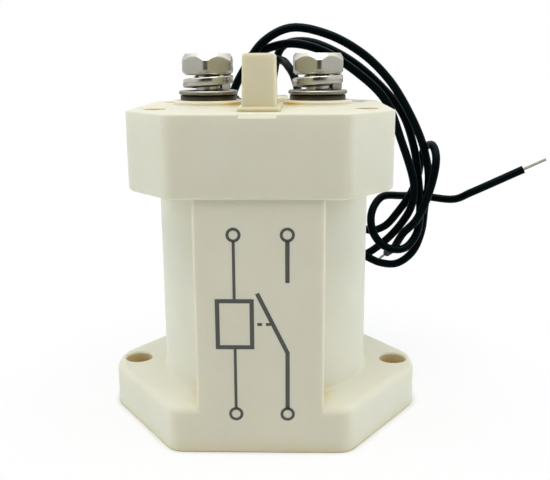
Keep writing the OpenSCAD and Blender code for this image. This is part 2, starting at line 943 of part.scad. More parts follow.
housing();
cover();
barrier();
terminal_left();
terminal_right();
bolt_left();
bolt_right();
split_washer_left();
split_washer_right();
flat_washer_left();
flat_washer_right();
arc_chamber();
magnet_front();
magnet_rear();
flux_plate_front();
flux_plate_rear();
seal_resin();
fill_tube();
guide_plate();
contact_bridge();
contact_tip_left();
contact_tip_right();
contact_spring();
spring_seat();
retaining_clip();
shaft();
moving_core();
return_spring();
fixed_core();
core_sleeve();
bobbin();
winding();
yoke_frame();
yoke_plate();
coil_blade_left();
coil_blade_right();
grommet_left();
grommet_right();
lead_left();
lead_right();
conductor_left();
conductor_right();
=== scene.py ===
# %% [markdown]
# A sealed direct current contactor: a cream plastic shell with two bolted terminals
# on top and two thin black leads that come out behind them.
# The engineering model gives every solid piece. Here they get their finishes, and
# the leads, strands, springs and printed symbol are made as fine as they really are.

# %% Load the engineering model
import math
import bpy
from mathutils import Matrix, Vector


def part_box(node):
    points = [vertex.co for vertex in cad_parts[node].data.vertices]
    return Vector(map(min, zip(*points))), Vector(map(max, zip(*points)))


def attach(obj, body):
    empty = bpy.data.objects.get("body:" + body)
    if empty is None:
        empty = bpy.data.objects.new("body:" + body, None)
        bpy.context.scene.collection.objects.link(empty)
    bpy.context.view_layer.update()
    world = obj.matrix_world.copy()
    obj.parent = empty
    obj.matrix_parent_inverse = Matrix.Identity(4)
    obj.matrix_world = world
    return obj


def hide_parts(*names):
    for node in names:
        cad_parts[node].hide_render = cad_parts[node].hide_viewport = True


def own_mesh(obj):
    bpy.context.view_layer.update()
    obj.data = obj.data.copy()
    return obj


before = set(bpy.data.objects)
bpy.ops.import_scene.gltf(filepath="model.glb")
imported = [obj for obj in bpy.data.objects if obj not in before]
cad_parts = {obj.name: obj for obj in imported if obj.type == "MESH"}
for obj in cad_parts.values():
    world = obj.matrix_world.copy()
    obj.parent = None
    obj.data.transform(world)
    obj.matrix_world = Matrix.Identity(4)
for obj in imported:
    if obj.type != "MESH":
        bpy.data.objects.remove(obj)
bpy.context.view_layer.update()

# %% [markdown]
# The camera stands in front of the contactor, a little above its top, and looks
# slightly down. It was placed by matching the corners of the shell to the picture.
# A lens as long as this one keeps the upright edges nearly parallel.

# %% Camera
focal_length_px, picture_width_px = 760.52, 550
camera_place = Vector((0.006343, -0.159337, 0.073825))
yaw, pitch, roll = (math.radians(angle) for angle in (1.449, 13.384, -0.313))

forward = Vector((
    -math.sin(yaw) * math.cos(pitch), math.cos(yaw) * math.cos(pitch), -math.sin(pitch)))
level = Vector((math.cos(yaw), math.sin(yaw), 0))
upward = level.cross(forward)
right = level * math.cos(roll) + upward * math.sin(roll)
upward = upward * math.cos(roll) - level * math.sin(roll)

camera_data = bpy.data.cameras.new("photo_camera")
camera_data.lens = focal_length_px / picture_width_px * camera_data.sensor_width
camera_data.clip_start = 0.01
camera = bpy.data.objects.new("photo_camera", camera_data)
camera.matrix_world = Matrix((right, upward, -forward)).transposed().to_4x4()
camera.location = camera_place
bpy.context.scene.collection.objects.link(camera)
bpy.context.scene.camera = camera
print("lens, mm:", round(camera_data.lens, 2))

# %% [markdown]
# Each lead is a fixed length of soft, thin cable. Its route is given by points in
# metres, the same ones as in the engineering model: out of the rubber grommet, over
# the cover, down beside the body in loose loops and on to a stripped end.
# A curve that only joins the points would have kinks, so a smooth one is laid
# through them whose bends stay gentle where the points are close together.

# %% Routes of the leads
left_route = [Vector(p) for p in (
    (-0.0074, 0.0155, 0.0572), (-0.0074, 0.0155, 0.066), (-0.0045, 0.015, 0.072),
    (-0.0005, 0.0145, 0.0775), (0.0055, 0.0145, 0.0805), (0.0135, 0.0145, 0.0792),
    (0.0215, 0.015, 0.075), (0.028, 0.017, 0.069), (0.0334, 0.0195, 0.061),
    (0.0369, 0.0208, 0.0535), (0.0387, 0.0225, 0.046), (0.0383, 0.024, 0.0385),
    (0.0378, 0.0247, 0.032), (0.0358, 0.0247, 0.027), (0.032, 0.024, 0.0243),
    (0.0278, 0.023, 0.0247), (0.024, 0.0227, 0.0265), (0.014, 0.027, 0.031),
    (0.0045, 0.0285, 0.041), (0.0005, 0.0285, 0.056), (0.0015, 0.0285, 0.07),
    (0.0035, 0.0265, 0.0765), (0.0095, 0.021, 0.0777), (0.0175, 0.0195, 0.0745),
    (0.025, 0.0205, 0.069), (0.0317, 0.022, 0.0615), (0.0349, 0.023, 0.0535),
    (0.0363, 0.0232, 0.046), (0.0368, 0.0219, 0.039), (0.036, 0.0203, 0.0328),
    (0.0328, 0.0187, 0.0294), (0.0285, 0.0183, 0.0298), (0.0255, 0.019, 0.033),
    (0.025, 0.0205, 0.0375), (0.0275, 0.0233, 0.041), (0.033, 0.0275, 0.0407),
    (0.0395, 0.03, 0.04), (0.046, 0.0265, 0.04), (0.0495, 0.0245, 0.042),
    (0.061, 0.022, 0.048),
)]
right_route = [Vector(p) for p in (
    (0.0074, 0.0155, 0.0572), (0.0074, 0.0155, 0.066), (0.0064, 0.017, 0.07),
    (0.0049, 0.0202, 0.0724), (0.0036, 0.0236, 0.0735), (0.0004, 0.0251, 0.074),
    (-0.0029, 0.0239, 0.074), (-0.0043, 0.0207, 0.074), (-0.0032, 0.0175, 0.0746),
    (0, 0.0161, 0.076), (0.0055, 0.0163, 0.0772), (0.0125, 0.0165, 0.0757),
    (0.021, 0.017, 0.0705), (0.0273, 0.018, 0.0645), (0.0313, 0.0192, 0.0555),
    (0.035, 0.0205, 0.044), (0.0345, 0.0211, 0.039), (0.0326, 0.0221, 0.035),
    (0.0294, 0.0238, 0.0306), (0.025, 0.0248, 0.0268), (0.0217, 0.0279, 0.0247),
    (0.0194, 0.0301, 0.0258), (0.0185, 0.031, 0.0289), (0.0194, 0.0301, 0.032),
    (0.0217, 0.0279, 0.0333), (0.0253, 0.026, 0.0322), (0.0288, 0.0248, 0.0336),
    (0.032, 0.0244, 0.0374), (0.035, 0.0251, 0.0418), (0.0368, 0.0261, 0.0463),
    (0.0373, 0.0264, 0.05), (0.038, 0.0245, 0.053), (0.039, 0.0209, 0.0539),
    (0.0394, 0.0178, 0.0515), (0.0389, 0.0169, 0.0473), (0.0372, 0.0172, 0.0408),
    (0.0351, 0.0178, 0.0362), (0.0327, 0.0196, 0.033), (0.0311, 0.0242, 0.0282),
    (0.03, 0.0285, 0.0258),
)]
print("points:", len(left_route), len(right_route))

# %% Smooth curve through a route
def between(a, b, c, d, share):
    """A point between b and c on the curve that bends past all four points."""
    ta = 0.0
    tb = ta + (b - a).length ** 0.5
    tc = tb + (c - b).length ** 0.5
    td = tc + (d - c).length ** 0.5
    t = tb + (tc - tb) * share
    ab = a.lerp(b, (t - ta) / (tb - ta))
    bc = b.lerp(c, (t - tb) / (tc - tb))
    cd = c.lerp(d, (t - tc) / (td - tc))
    abc = ab.lerp(bc, (t - ta) / (tc - ta))
    bcd = bc.lerp(cd, (t - tb) / (td - tb))
    return abc.lerp(bcd, (t - tb) / (tc - tb))


def smooth_line(route, spacing):
    """Points about spacing apart on the smooth curve, the first and last kept."""
    parts = 12
    ends = [2 * route[0] - route[1], *route, 2 * route[-1] - route[-2]]
    dense = [route[0]]
    for a, b, c, d in zip(ends, ends[1:], ends[2:], ends[3:]):
        dense += [between(a, b, c, d, k / parts) for k in range(1, parts + 1)]
    line, walked = [dense[0]], 0.0
    for start, stop in zip(dense, dense[1:]):
        walked += (stop - start).length
        if walked >= spacing:
            line.append(stop)
            walked = 0.0
    if (line[-1] - dense[-1]).length > 1e-6:
        line.append(dense[-1])
    return line


def line_length(line):
    return sum((b - a).length for a, b in zip(line, line[1:]))


spacing = 0.0007
left_line = smooth_line(left_route, spacing)
right_line = smooth_line(right_route, spacing)
print("lead lengths, mm:", [round(line_length(line) * 1000) for line in (left_line, right_line)])

# %% [markdown]
# Everything here that follows a path or repeats is grown by Geometry Nodes. A tree
# is a recipe with named sizes. These helpers build one, hand it a bare line
# of points to work on, set its sizes, and keep the result as a plain mesh.

# %% Helpers for node trees
def add(tree, kind, links=(), **settings):
    """Adds a node, sets its settings, and fills its inputs with values or links."""
    made = tree.nodes.new(kind)
    for setting, value in settings.items():
        setattr(made, setting, value)
    for socket, value in dict(links).items():
        if isinstance(value, bpy.types.NodeSocket):
            tree.links.new(value, made.inputs[socket])
        else:
            made.inputs[socket].default_value = value
    return made


def recipe(name, **sizes):
    """A new geometry tree with named inputs; gives the tree and its input node."""
    tree = bpy.data.node_groups.new(name, "GeometryNodeTree")
    tree.interface.new_socket("Geometry", in_out="INPUT", socket_type="NodeSocketGeometry")
    for size, value in sizes.items():
        kind = "NodeSocketInt" if isinstance(value, int) else "NodeSocketFloat"
        socket = tree.interface.new_socket(size.replace("_", " "), in_out="INPUT", socket_type=kind)
        socket.default_value = value
    tree.interface.new_socket("Material", in_out="INPUT", socket_type="NodeSocketMaterial")
    tree.interface.new_socket("Geometry", in_out="OUTPUT", socket_type="NodeSocketGeometry")
    return tree, tree.nodes.new("NodeGroupInput").outputs


def close_recipe(tree, inputs, geometry):
    """Ends a tree: smooth faces, real geometry, its material, the output."""
    smooth = add(tree, "GeometryNodeSetShadeSmooth", {"Geometry": geometry})
    real = add(tree, "GeometryNodeRealizeInstances", {"Geometry": smooth.outputs[0]})
    dressed = add(tree, "GeometryNodeSetMaterial", {
        "Geometry": real.outputs[0], "Material": inputs["Material"]})
    tree.links.new(dressed.outputs[0], tree.nodes.new("NodeGroupOutput").inputs[0])


def grow(name, tree, line, material, **sizes):
    """Grows a piece along a line of points and keeps it as a plain mesh."""
    mesh = bpy.data.meshes.new(name + "_line")
    mesh.from_pydata(line, [(i, i + 1) for i in range(len(line) - 1)], [])
    host = bpy.data.objects.new(name + "_line", mesh)
    bpy.context.scene.collection.objects.link(host)
    modifier = host.modifiers.new("recipe", "NODES")
    modifier.node_group = tree
    wanted = {size.replace("_", " "): value for size, value in sizes.items()}
    wanted["Material"] = material
    for socket in tree.interface.items_tree:
        if socket.in_out == "INPUT" and socket.name in wanted:
            modifier[socket.identifier] = wanted.pop(socket.name)
    assert not wanted, f"{tree.name} has no input {sorted(wanted)}"
    ready = bpy.context.evaluated_depsgraph_get()
    made = bpy.data.meshes.new_from_object(host.evaluated_get(ready), depsgraph=ready)
    host.modifiers.remove(modifier)
    bpy.data.objects.remove(host)
    made.name = name
    piece = bpy.data.objects.new(name, made)
    bpy.context.scene.collection.objects.link(piece)
    print(name, "has", len(made.polygons), "faces")
    return piece


# %% [markdown]
# A finish is a material named for the real one. Colours are written as they are on
# a paint card and turned to the linear numbers that the renderer counts in.
# Patterns are sized in millimetres: a noise that repeats every 0.5 mm needs
# 2000 of its cells in a metre.

# %% Helpers for finishes
def paint(card):
    """Linear colour of an sRGB hex value."""
    parts = [int(card[i:i + 2], 16) / 255 for i in (1, 3, 5)]
    return [*((c / 12.92 if c <= 0.04045 else ((c + 0.055) / 1.055) ** 2.4) for c in parts), 1.0]


def per_metre(size_mm):
    return 1000 / size_mm


def finish(name, card, roughness, **sockets):
    """A new material with these values on its shader; gives it, its tree and shader."""
    material = bpy.data.materials.new(name)
    material.use_nodes = True
    shader = material.node_tree.nodes["Principled BSDF"]
    shader.inputs["Base Color"].default_value = paint(card)
    shader.inputs["Roughness"].default_value = roughness
    for socket, value in sockets.items():
        shader.inputs[socket.replace("_", " ")].default_value = value
    material.diffuse_color = paint(card)
    return material, material.node_tree, shader


def grain(tree, size_mm, detail=3.0):
    """Noise on the piece's own coordinates whose lumps are about size_mm wide."""
    place = add(tree, "ShaderNodeTexCoord")
    return add(tree, "ShaderNodeTexNoise", {
        "Vector": place.outputs["Object"], "Scale": per_metre(size_mm), "Detail": detail})


def shade_between(tree, shader, amount, card_a, card_b):
    """Base colour that goes from one paint to another with amount."""
    blend = add(tree, "ShaderNodeMix", {"Factor": amount}, data_type="RGBA")
    blend.inputs[6].default_value = paint(card_a)
    blend.inputs[7].default_value = paint(card_b)
    tree.links.new(blend.outputs[2], shader.inputs["Base Color"])


def paint_nook_shade(tree, shader, reach_mm, card):
    """Painted shade: turns the base colour towards a warmer one where walls stand close together.
    """
    open_sky = add(tree, "ShaderNodeAmbientOcclusion", {"Distance": reach_mm / 1000}, samples=8)
    share = add(tree, "ShaderNodeMapRange", {
        "Value": open_sky.outputs["AO"], "From Min": 0.25, "From Max": 0.62})
    plain = shader.inputs["Base Color"].links[0].from_socket
    blend = add(tree, "ShaderNodeMix", {"Factor": share.outputs[0]}, data_type="RGBA")
    blend.inputs[6].default_value = paint(card)
    tree.links.new(plain, blend.inputs[7])
    tree.links.new(blend.outputs[2], shader.inputs["Base Color"])


def vary_roughness(tree, shader, amount, low, high):
    """Roughness that goes from low to high with amount."""
    spread = add(tree, "ShaderNodeMapRange", {
        "Value": amount, "From Min": 0.3, "From Max": 0.7, "To Min": low, "To Max": high})
    tree.links.new(spread.outputs[0], shader.inputs["Roughness"])


def relief(tree, shader, height, depth_mm, edge_mm=0.0):
    """Bump of a real depth, on edges that catch the light as if slightly rounded."""
    bump = add(tree, "ShaderNodeBump", {
        "Height": height, "Distance": depth_mm / 1000, "Strength": 1.0})
    if edge_mm:
        edge = add(tree, "ShaderNodeBevel", {"Radius": edge_mm / 1000}, samples=6)
        tree.links.new(edge.outputs[0], bump.inputs["Normal"])
    tree.links.new(bump.outputs[0], shader.inputs["Normal"])


def dress(material, *nodes):
    """Gives CAD nodes this finish."""
    for name in nodes:
        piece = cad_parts[name]
        piece.data.materials.clear()
        piece.data.materials.append(material)


# %% [markdown]
# The shell is glass filled thermoplastic, injection moulded. Its skin copies a fine
# spark eroded mould, so it is nearly matt with tiny pits, and a little uneven in
# tone where the melt cooled at different speeds. Light goes a millimetre or two into
# it and comes out warmer. Inside the mounting holes and in the corners the walls
# light each other and every bounce takes out more of the blue; that warm shade is
# painted into the base colour there.
# The pits are about 0.1 mm on the real one and drawn 0.35 mm wide to show.
# The barrier is a small part of its own, from another batch that is a shade yellower,
# and its edges are much rounder.

# %% Shell plastic
def moulded_shell(name, edge_mm, card_a, card_b):
    """Cream moulded plastic on edges rounded by edge_mm."""
    material, tree, shader = finish(name, "#E2DFCC", 0.7, IOR=1.55,
                                    Subsurface_Weight=0.3, Subsurface_Scale=0.002)
    shader.inputs["Subsurface Radius"].default_value = (1.0, 0.75, 0.35)
    tone = grain(tree, 9, 2.0)
    shade_between(tree, shader, tone.outputs["Fac"], card_a, card_b)
    # Painted shade: holes and corners get a warmer colour, standing in for light bounced between
    # close walls.
    paint_nook_shade(tree, shader, 6.5, "#DBBB4E")
    pits = grain(tree, 0.35, 2.0)
    vary_roughness(tree, shader, pits.outputs["Fac"], 0.64, 0.78)
    relief(tree, shader, pits.outputs["Fac"], 0.012, edge_mm)
    return material


shell_plastic = moulded_shell("moulded_shell_plastic", 0.12, "#DFDBC7", "#E6E3D2")
barrier_plastic = moulded_shell("moulded_barrier_plastic", 0.9, "#DAD2B3", "#E1DABE")
dress(shell_plastic, "housing", "cover")
dress(barrier_plastic, "barrier")

# %% [markdown]
# Bolts and washers are bright stainless steel. The bolt heads are cold forged and
# tumbled, so they are smooth with faint dents and their edges are well rounded. The
# washers are punched or wound, with sharper edges. Polished metal shows what stands
# round it, so its look comes mostly from the surround and the lamps.

# %% Stainless steel
def steel(name, card, roughness, edge_mm):
    """Bright steel with faint dents, on edges rounded by edge_mm."""
    material, tree, shader = finish(name, card, roughness, Metallic=1.0)
    dents = grain(tree, 1.6, 3.0)
    vary_roughness(tree, shader, dents.outputs["Fac"], roughness * 0.7, roughness * 1.2)
    relief(tree, shader, dents.outputs["Fac"], 0.012, edge_mm)
    return material


forged_stainless = steel("forged_stainless_steel", "#B1AFA5", 0.2, 0.4)
# The thread is the same steel as the head, painted darker and warmer: painted shade of the narrow
# gap under the head.
thread_steel_painted_shade = steel("rolled_thread_painted_shade", "#6E6656", 0.3, 0.05)
wound_stainless = steel("wound_stainless_steel", "#BAB7AD", 0.2, 0.15)
punched_stainless = steel("punched_stainless_steel", "#8B8980", 0.35, 0.12)
dress(forged_stainless, "bolt_left", "bolt_right")
dress(punched_stainless, "flat_washer_left", "flat_washer_right")

# %% [markdown]
# The terminals are copper with a thin nickel plating that has gone dull and dark.
# At the top, just under the washer, they are painted darker still: painted shade of
# the washer. Tool marks from the lathe run round each one, so they are bands across
# its height. Real ones are about 0.1 mm apart; they are drawn half a millimetre apart
# to show. A wave texture at a scale of 1 repeats every tau / 20 metres, so its scale
# is worked out from that.

# %% Dull nickel
dull_nickel, tree, shader = finish("dull_plated_copper", "#4C483C", 0.4, Metallic=1.0)
tool_mark_mm = 0.4948
wave_at_scale_1 = math.tau / 20
dark_above, unshaded_below = 0.0668, 0.0657
place = add(tree, "ShaderNodeTexCoord")
rings = add(tree, "ShaderNodeTexWave", {
    "Vector": place.outputs["Object"], "Scale": per_metre(tool_mark_mm) * wave_at_scale_1,
    "Distortion": 0.6}, wave_type="BANDS", bands_direction="Z")
patina = grain(tree, 2.5, 4.0)
height = add(tree, "ShaderNodeSeparateXYZ", {0: place.outputs["Object"]})
painted_washer_shade = add(tree, "ShaderNodeMapRange", {
    "Value": height.outputs["Z"], "From Min": dark_above, "From Max": unshaded_below})
# Painted shade: each terminal darkens towards its top, right under the washer.
shade_between(tree, shader, painted_washer_shade.outputs[0], "#15130E", "#5C5747")
vary_roughness(tree, shader, patina.outputs["Fac"], 0.32, 0.5)
relief(tree, shader, rings.outputs["Fac"], 0.01, 0.15)
dress(dull_nickel, "terminal_left", "terminal_right")

# %% [markdown]
# The leads have an extruded jacket of soft black plastic: smooth and half glossy,
# with a faint ripple from the extruder. The grommets round them are moulded rubber,
# which is darker, duller and a little powdery.

# %% Lead jacket and rubber
lead_jacket, tree, shader = finish(
    "extruded_soft_pvc", "#04080A", 0.3, IOR=1.53, Specular_IOR_Level=0.045)
shader.inputs["Specular Tint"].default_value = paint("#9FE0EC")
ripple = grain(tree, 2.2, 2.0)
vary_roughness(tree, shader, ripple.outputs["Fac"], 0.26, 0.38)
relief(tree, shader, ripple.outputs["Fac"], 0.03)

grommet_rubber, tree, shader = finish("moulded_rubber", "#17181A", 0.6, IOR=1.52)
bloom = grain(tree, 0.6, 4.0)
shade_between(tree, shader, bloom.outputs["Fac"], "#121315", "#222326")
relief(tree, shader, bloom.outputs["Fac"], 0.02, 0.12)
dress(grommet_rubber, "grommet_left", "grommet_right")

# %% [markdown]
# Inside, the contact chamber is fired alumina with a dry, faintly sandy skin.
# The magnets are sintered ferrite, and the iron parts of the coil are zinc plated,
# which gives a cloudy grey shine.

# %% Ceramic, magnets and plated iron
alumina, tree, shader = finish("fired_alumina", "#E9E4DA", 0.5, IOR=1.76)
sand = grain(tree, 0.3, 3.0)
relief(tree, shader, sand.outputs["Fac"], 0.01, 0.2)
shade_between(tree, shader, grain(tree, 5).outputs["Fac"], "#E4DED2", "#EFEBE3")
dress(alumina, "arc_chamber")

ferrite, tree, shader = finish("sintered_ferrite", "#4A4B50", 0.55, Metallic=0.6)
crystals = grain(tree, 0.5, 5.0)
shade_between(tree, shader, crystals.outputs["Fac"], "#3B3C41", "#5A5B60")
relief(tree, shader, crystals.outputs["Fac"], 0.02, 0.2)
dress(ferrite, "magnet_front", "magnet_rear")

zinc_iron, tree, shader = finish("zinc_plated_iron", "#9DA2A0", 0.35, Metallic=1.0)
clouds = grain(tree, 3.0, 5.0)
shade_between(tree, shader, clouds.outputs["Fac"], "#868B8A", "#B1B5B2")
vary_roughness(tree, shader, clouds.outputs["Fac"], 0.28, 0.45)
relief(tree, shader, clouds.outputs["Fac"], 0.01, 0.15)
dress(zinc_iron, "flux_plate_front", "flux_plate_rear", "yoke_frame", "yoke_plate", "fixed_core",
      "moving_core", "spring_seat", "retaining_clip")

# %% [markdown]
# The resin that seals the chamber was poured and levelled itself, so it is glossy
# with a soft meniscus. Nylon is waxy and lets a little light in. Bare copper and
# brass have faint stains from handling.

# %% Resin, nylon, copper and brass
seal_resin, tree, shader = finish("poured_epoxy_resin", "#3A352C", 0.15, IOR=1.57)
shade_between(tree, shader, grain(tree, 4).outputs["Fac"], "#332E26", "#443E33")
relief(tree, shader, grain(tree, 3).outputs["Fac"], 0.02)
dress(seal_resin, "seal_resin")

nylon, tree, shader = finish("moulded_nylon", "#E8E2C8", 0.4, IOR=1.53,
                             Subsurface_Weight=0.15, Subsurface_Scale=0.002)
shader.inputs["Subsurface Radius"].default_value = (1.0, 0.75, 0.5)
shade_between(tree, shader, grain(tree, 4).outputs["Fac"], "#E3DCC0", "#ECE7D2")
relief(tree, shader, grain(tree, 0.5).outputs["Fac"], 0.01, 0.2)
dress(nylon, "bobbin", "guide_plate")

copper, tree, shader = finish("handled_copper", "#B87348", 0.3, Metallic=1.0)
stains = grain(tree, 2.0, 4.0)
shade_between(tree, shader, stains.outputs["Fac"], "#A35F3A", "#C78356")
vary_roughness(tree, shader, stains.outputs["Fac"], 0.22, 0.4)
relief(tree, shader, stains.outputs["Fac"], 0.01, 0.15)
dress(copper, "contact_bridge", "fill_tube")

brass, tree, shader = finish("stamped_brass", "#C8A04F", 0.3, Metallic=1.0)
stains = grain(tree, 1.5, 4.0)
shade_between(tree, shader, stains.outputs["Fac"], "#B89044", "#D3AD60")
relief(tree, shader, stains.outputs["Fac"], 0.008, 0.1)
dress(brass, "coil_blade_left", "coil_blade_right")

# %% [markdown]
# The contact tips are a silver alloy and the shaft and its sleeve are ground steel,
# with fine scratches round the axis: one noise squeezed along the axis, so that its
# lumps are 0.2 mm high and some 3 mm long. Spring wire is darker, with an oily sheen
# from tempering. Tinned copper strands are soft grey.

# %% Contact alloy, ground steel, spring wire and tinned strands
contact_alloy, tree, shader = finish("silver_contact_alloy", "#CBCAC4", 0.32, Metallic=1.0)
pits = grain(tree, 0.4, 4.0)
shade_between(tree, shader, pits.outputs["Fac"], "#BDBCB6", "#D6D5D0")
relief(tree, shader, pits.outputs["Fac"], 0.01, 0.15)
dress(contact_alloy, "contact_tip_left", "contact_tip_right")

ground_steel, tree, shader = finish("ground_steel", "#BFC1C2", 0.22, Metallic=1.0)
across, along = per_metre(0.2), per_metre(10 / 3)
place = add(tree, "ShaderNodeTexCoord")
lines = add(tree, "ShaderNodeMapping", {
    "Vector": place.outputs["Object"], "Scale": (along, along, across)})
scratches = add(tree, "ShaderNodeTexNoise", {
    "Vector": lines.outputs[0], "Scale": 1.0, "Detail": 3.0})
vary_roughness(tree, shader, scratches.outputs["Fac"], 0.16, 0.3)
relief(tree, shader, scratches.outputs["Fac"], 0.004, 0.1)
dress(ground_steel, "shaft", "core_sleeve")

spring_wire, tree, shader = finish("tempered_spring_wire", "#8E9092", 0.28, Metallic=1.0)
film = grain(tree, 1.2, 3.0)
shade_between(tree, shader, film.outputs["Fac"], "#7C7E81", "#9EA0A1")
relief(tree, shader, film.outputs["Fac"], 0.006)

tinned_copper, tree, shader = finish("tinned_copper_wire", "#8F8B80", 0.35, Metallic=1.0)
tin = grain(tree, 0.5, 3.0)
shade_between(tree, shader, tin.outputs["Fac"], "#7E796D", "#A19D92")
relief(tree, shader, tin.outputs["Fac"], 0.01)

enamelled_wire, tree, shader = finish("enamelled_magnet_wire", "#8F3F1C", 0.28, Metallic=0.7,
                                      Coat_Weight=0.8, Coat_Roughness=0.08)
batch = grain(tree, 1.0, 2.0)
shade_between(tree, shader, batch.outputs["Fac"], "#7F3616", "#A14C26")
relief(tree, shader, batch.outputs["Fac"], 0.005)
dress(enamelled_wire, "winding")

# %% [markdown]
# The jacket of a lead is one round tube pulled along its line. It could be a curve
# with a bevel, but a tree that sweeps a circle leaves a plain mesh with closed ends.

# %% Leads
jacket_tree, sizes = recipe("jacket on a line", Radius=0.00095, Sides=20)
route = add(jacket_tree, "GeometryNodeMeshToCurve", {"Mesh": sizes["Geometry"]})
ring = add(jacket_tree, "GeometryNodeCurvePrimitiveCircle", {
    "Resolution": sizes["Sides"], "Radius": sizes["Radius"]})
skin = add(jacket_tree, "GeometryNodeCurveToMesh", {
    "Curve": route.outputs[0], "Profile Curve": ring.outputs[0], "Fill Caps": True})
close_recipe(jacket_tree, sizes, skin.outputs[0])

lead_diameter = 0.0019
lead_radius = lead_diameter / 2
left_lead = grow("left_lead", jacket_tree, left_line, lead_jacket, Radius=lead_radius)
right_lead = grow("right_lead", jacket_tree, right_line, lead_jacket, Radius=lead_radius)

# %% [markdown]
# The stripped end shows a bundle of fine tinned strands with a slight twist. Each
# strand is the middle line pushed out to one side, and the side turns round as it
# goes along, which a tree does for all strands at once.

# %% Stripped ends
strand_tree, sizes = recipe("twisted strands", Strands=7, Bundle_radius=0.00022,
                            Strand_radius=0.00011, Twists=0.8)
route = add(strand_tree, "GeometryNodeMeshToCurve", {"Mesh": sizes["Geometry"]})
fine = add(strand_tree, "GeometryNodeResampleCurve", {"Curve": route.outputs[0], "Count": 28})
copies = add(strand_tree, "GeometryNodeDuplicateElements", {
    "Geometry": fine.outputs[0], "Amount": sizes["Strands"]}, domain="SPLINE")
along = add(strand_tree, "GeometryNodeSplineParameter")
share = add(strand_tree, "ShaderNodeMath", {
    0: copies.outputs["Duplicate Index"], 1: sizes["Strands"]}, operation="DIVIDE")
turn = add(strand_tree, "ShaderNodeMath", {
    0: along.outputs["Factor"], 1: sizes["Twists"], 2: share.outputs[0]}, operation="MULTIPLY_ADD")
angle = add(strand_tree, "ShaderNodeMath", {0: turn.outputs[0], 1: math.tau},
            operation="MULTIPLY")
tangent = add(strand_tree, "GeometryNodeInputTangent")
normal = add(strand_tree, "GeometryNodeInputNormal")
outward = add(strand_tree, "ShaderNodeVectorRotate", {
    "Vector": normal.outputs[0], "Axis": tangent.outputs[0], "Angle": angle.outputs[0]})
push = add(strand_tree, "ShaderNodeVectorMath", {
    0: outward.outputs[0], "Scale": sizes["Bundle radius"]}, operation="SCALE")
laid = add(strand_tree, "GeometryNodeSetPosition", {
    "Geometry": copies.outputs[0], "Offset": push.outputs[0]})
ring = add(strand_tree, "GeometryNodeCurvePrimitiveCircle", {
    "Resolution": 8, "Radius": sizes["Strand radius"]})
skin = add(strand_tree, "GeometryNodeCurveToMesh", {
    "Curve": laid.outputs[0], "Profile Curve": ring.outputs[0], "Fill Caps": True})
close_recipe(strand_tree, sizes, skin.outputs[0])


def stripped_end(name, route):
    """Strands that carry on straight from the end of a lead, and start just inside it."""
    onward = (route[-1] - route[-2]).normalized()
    line = [route[-1] + onward * reach for reach in strand_points]
    return grow(name, strand_tree, line, tinned_copper)


stripped_length, inside_jacket, stretches = 0.0055, 0.0005, 6
strand_points = [stripped_length * k / stretches for k in range(stretches + 1)]
strand_points[0] = -inside_jacket
left_strands = stripped_end("left_strands", left_route)
right_strands = stripped_end("right_strands", right_route)

# %% [markdown]
# A lead and its strands sit still on the case and stand for the plain tubes of the
# engineering model.

for lead, strands, side in (
        (left_lead, left_strands, "left"), (right_lead, right_strands, "right")):
    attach(lead, "case")
    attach(strands, "case")
    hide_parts("lead_" + side)
    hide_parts("conductor_" + side)

# %% [markdown]
# Springs, the split washers and the screw threads are all a wire wound round an
# axis, so one tree makes them: it bends a straight line into a helix and sweeps a
# rounded rectangle along it. Round wire is the case where the corners meet.
# Closed end turns come from a rise that slows down at both ends.

# %% Wound wire
coil_tree, sizes = recipe("wound wire", Turns=1.0, Radius=0.004, Rise=0.001, Start=0.0,
                          Closed_ends=0.0, Steps=48, Wire_width=0.001, Wire_height=0.001,
                          Corner=0.0002, Centre_X=0.0, Base_Z=0.0)
route = add(coil_tree, "GeometryNodeMeshToCurve", {"Mesh": sizes["Geometry"]})
fine = add(coil_tree, "GeometryNodeResampleCurve", {
    "Curve": route.outputs[0], "Count": sizes["Steps"]})
along = add(coil_tree, "GeometryNodeSplineParameter").outputs["Factor"]
turn = add(coil_tree, "ShaderNodeMath", {0: along, 1: sizes["Turns"], 2: sizes["Start"]},
           operation="MULTIPLY_ADD")
angle = add(coil_tree, "ShaderNodeMath", {0: turn.outputs[0], 1: math.tau}, operation="MULTIPLY")
cosine = add(coil_tree, "ShaderNodeMath", {0: angle.outputs[0]}, operation="COSINE")
sine = add(coil_tree, "ShaderNodeMath", {0: angle.outputs[0]}, operation="SINE")
x = add(coil_tree, "ShaderNodeMath", {
    0: cosine.outputs[0], 1: sizes["Radius"], 2: sizes["Centre X"]}, operation="MULTIPLY_ADD")
y = add(coil_tree, "ShaderNodeMath", {0: sine.outputs[0], 1: sizes["Radius"]}, operation="MULTIPLY")
wave = add(coil_tree, "ShaderNodeMath", {0: along, 1: math.tau}, operation="MULTIPLY")
slow = add(coil_tree, "ShaderNodeMath", {0: wave.outputs[0]}, operation="SINE")
held = add(coil_tree, "ShaderNodeMath", {0: slow.outputs[0], 1: sizes["Closed ends"]},
           operation="MULTIPLY")
climb = add(coil_tree, "ShaderNodeMath", {0: along, 1: held.outputs[0]}, operation="SUBTRACT")
z = add(coil_tree, "ShaderNodeMath", {0: climb.outputs[0], 1: sizes["Rise"], 2: sizes["Base Z"]},
        operation="MULTIPLY_ADD")
point = add(coil_tree, "ShaderNodeCombineXYZ", {
    "X": x.outputs[0], "Y": y.outputs[0], "Z": z.outputs[0]})
bent = add(coil_tree, "GeometryNodeSetPosition", {
    "Geometry": fine.outputs[0], "Position": point.outputs[0]})
upright = add(coil_tree, "GeometryNodeSetCurveNormal", {"Curve": bent.outputs[0]}, mode="Z_UP")
section = add(coil_tree, "GeometryNodeCurvePrimitiveQuadrilateral", {
    "Width": sizes["Wire width"], "Height": sizes["Wire height"]})
soft = add(coil_tree, "GeometryNodeFilletCurve", {
    "Curve": section.outputs[0], "Radius": sizes["Corner"], "Count": 3, "Limit Radius": True},
           mode="POLY")
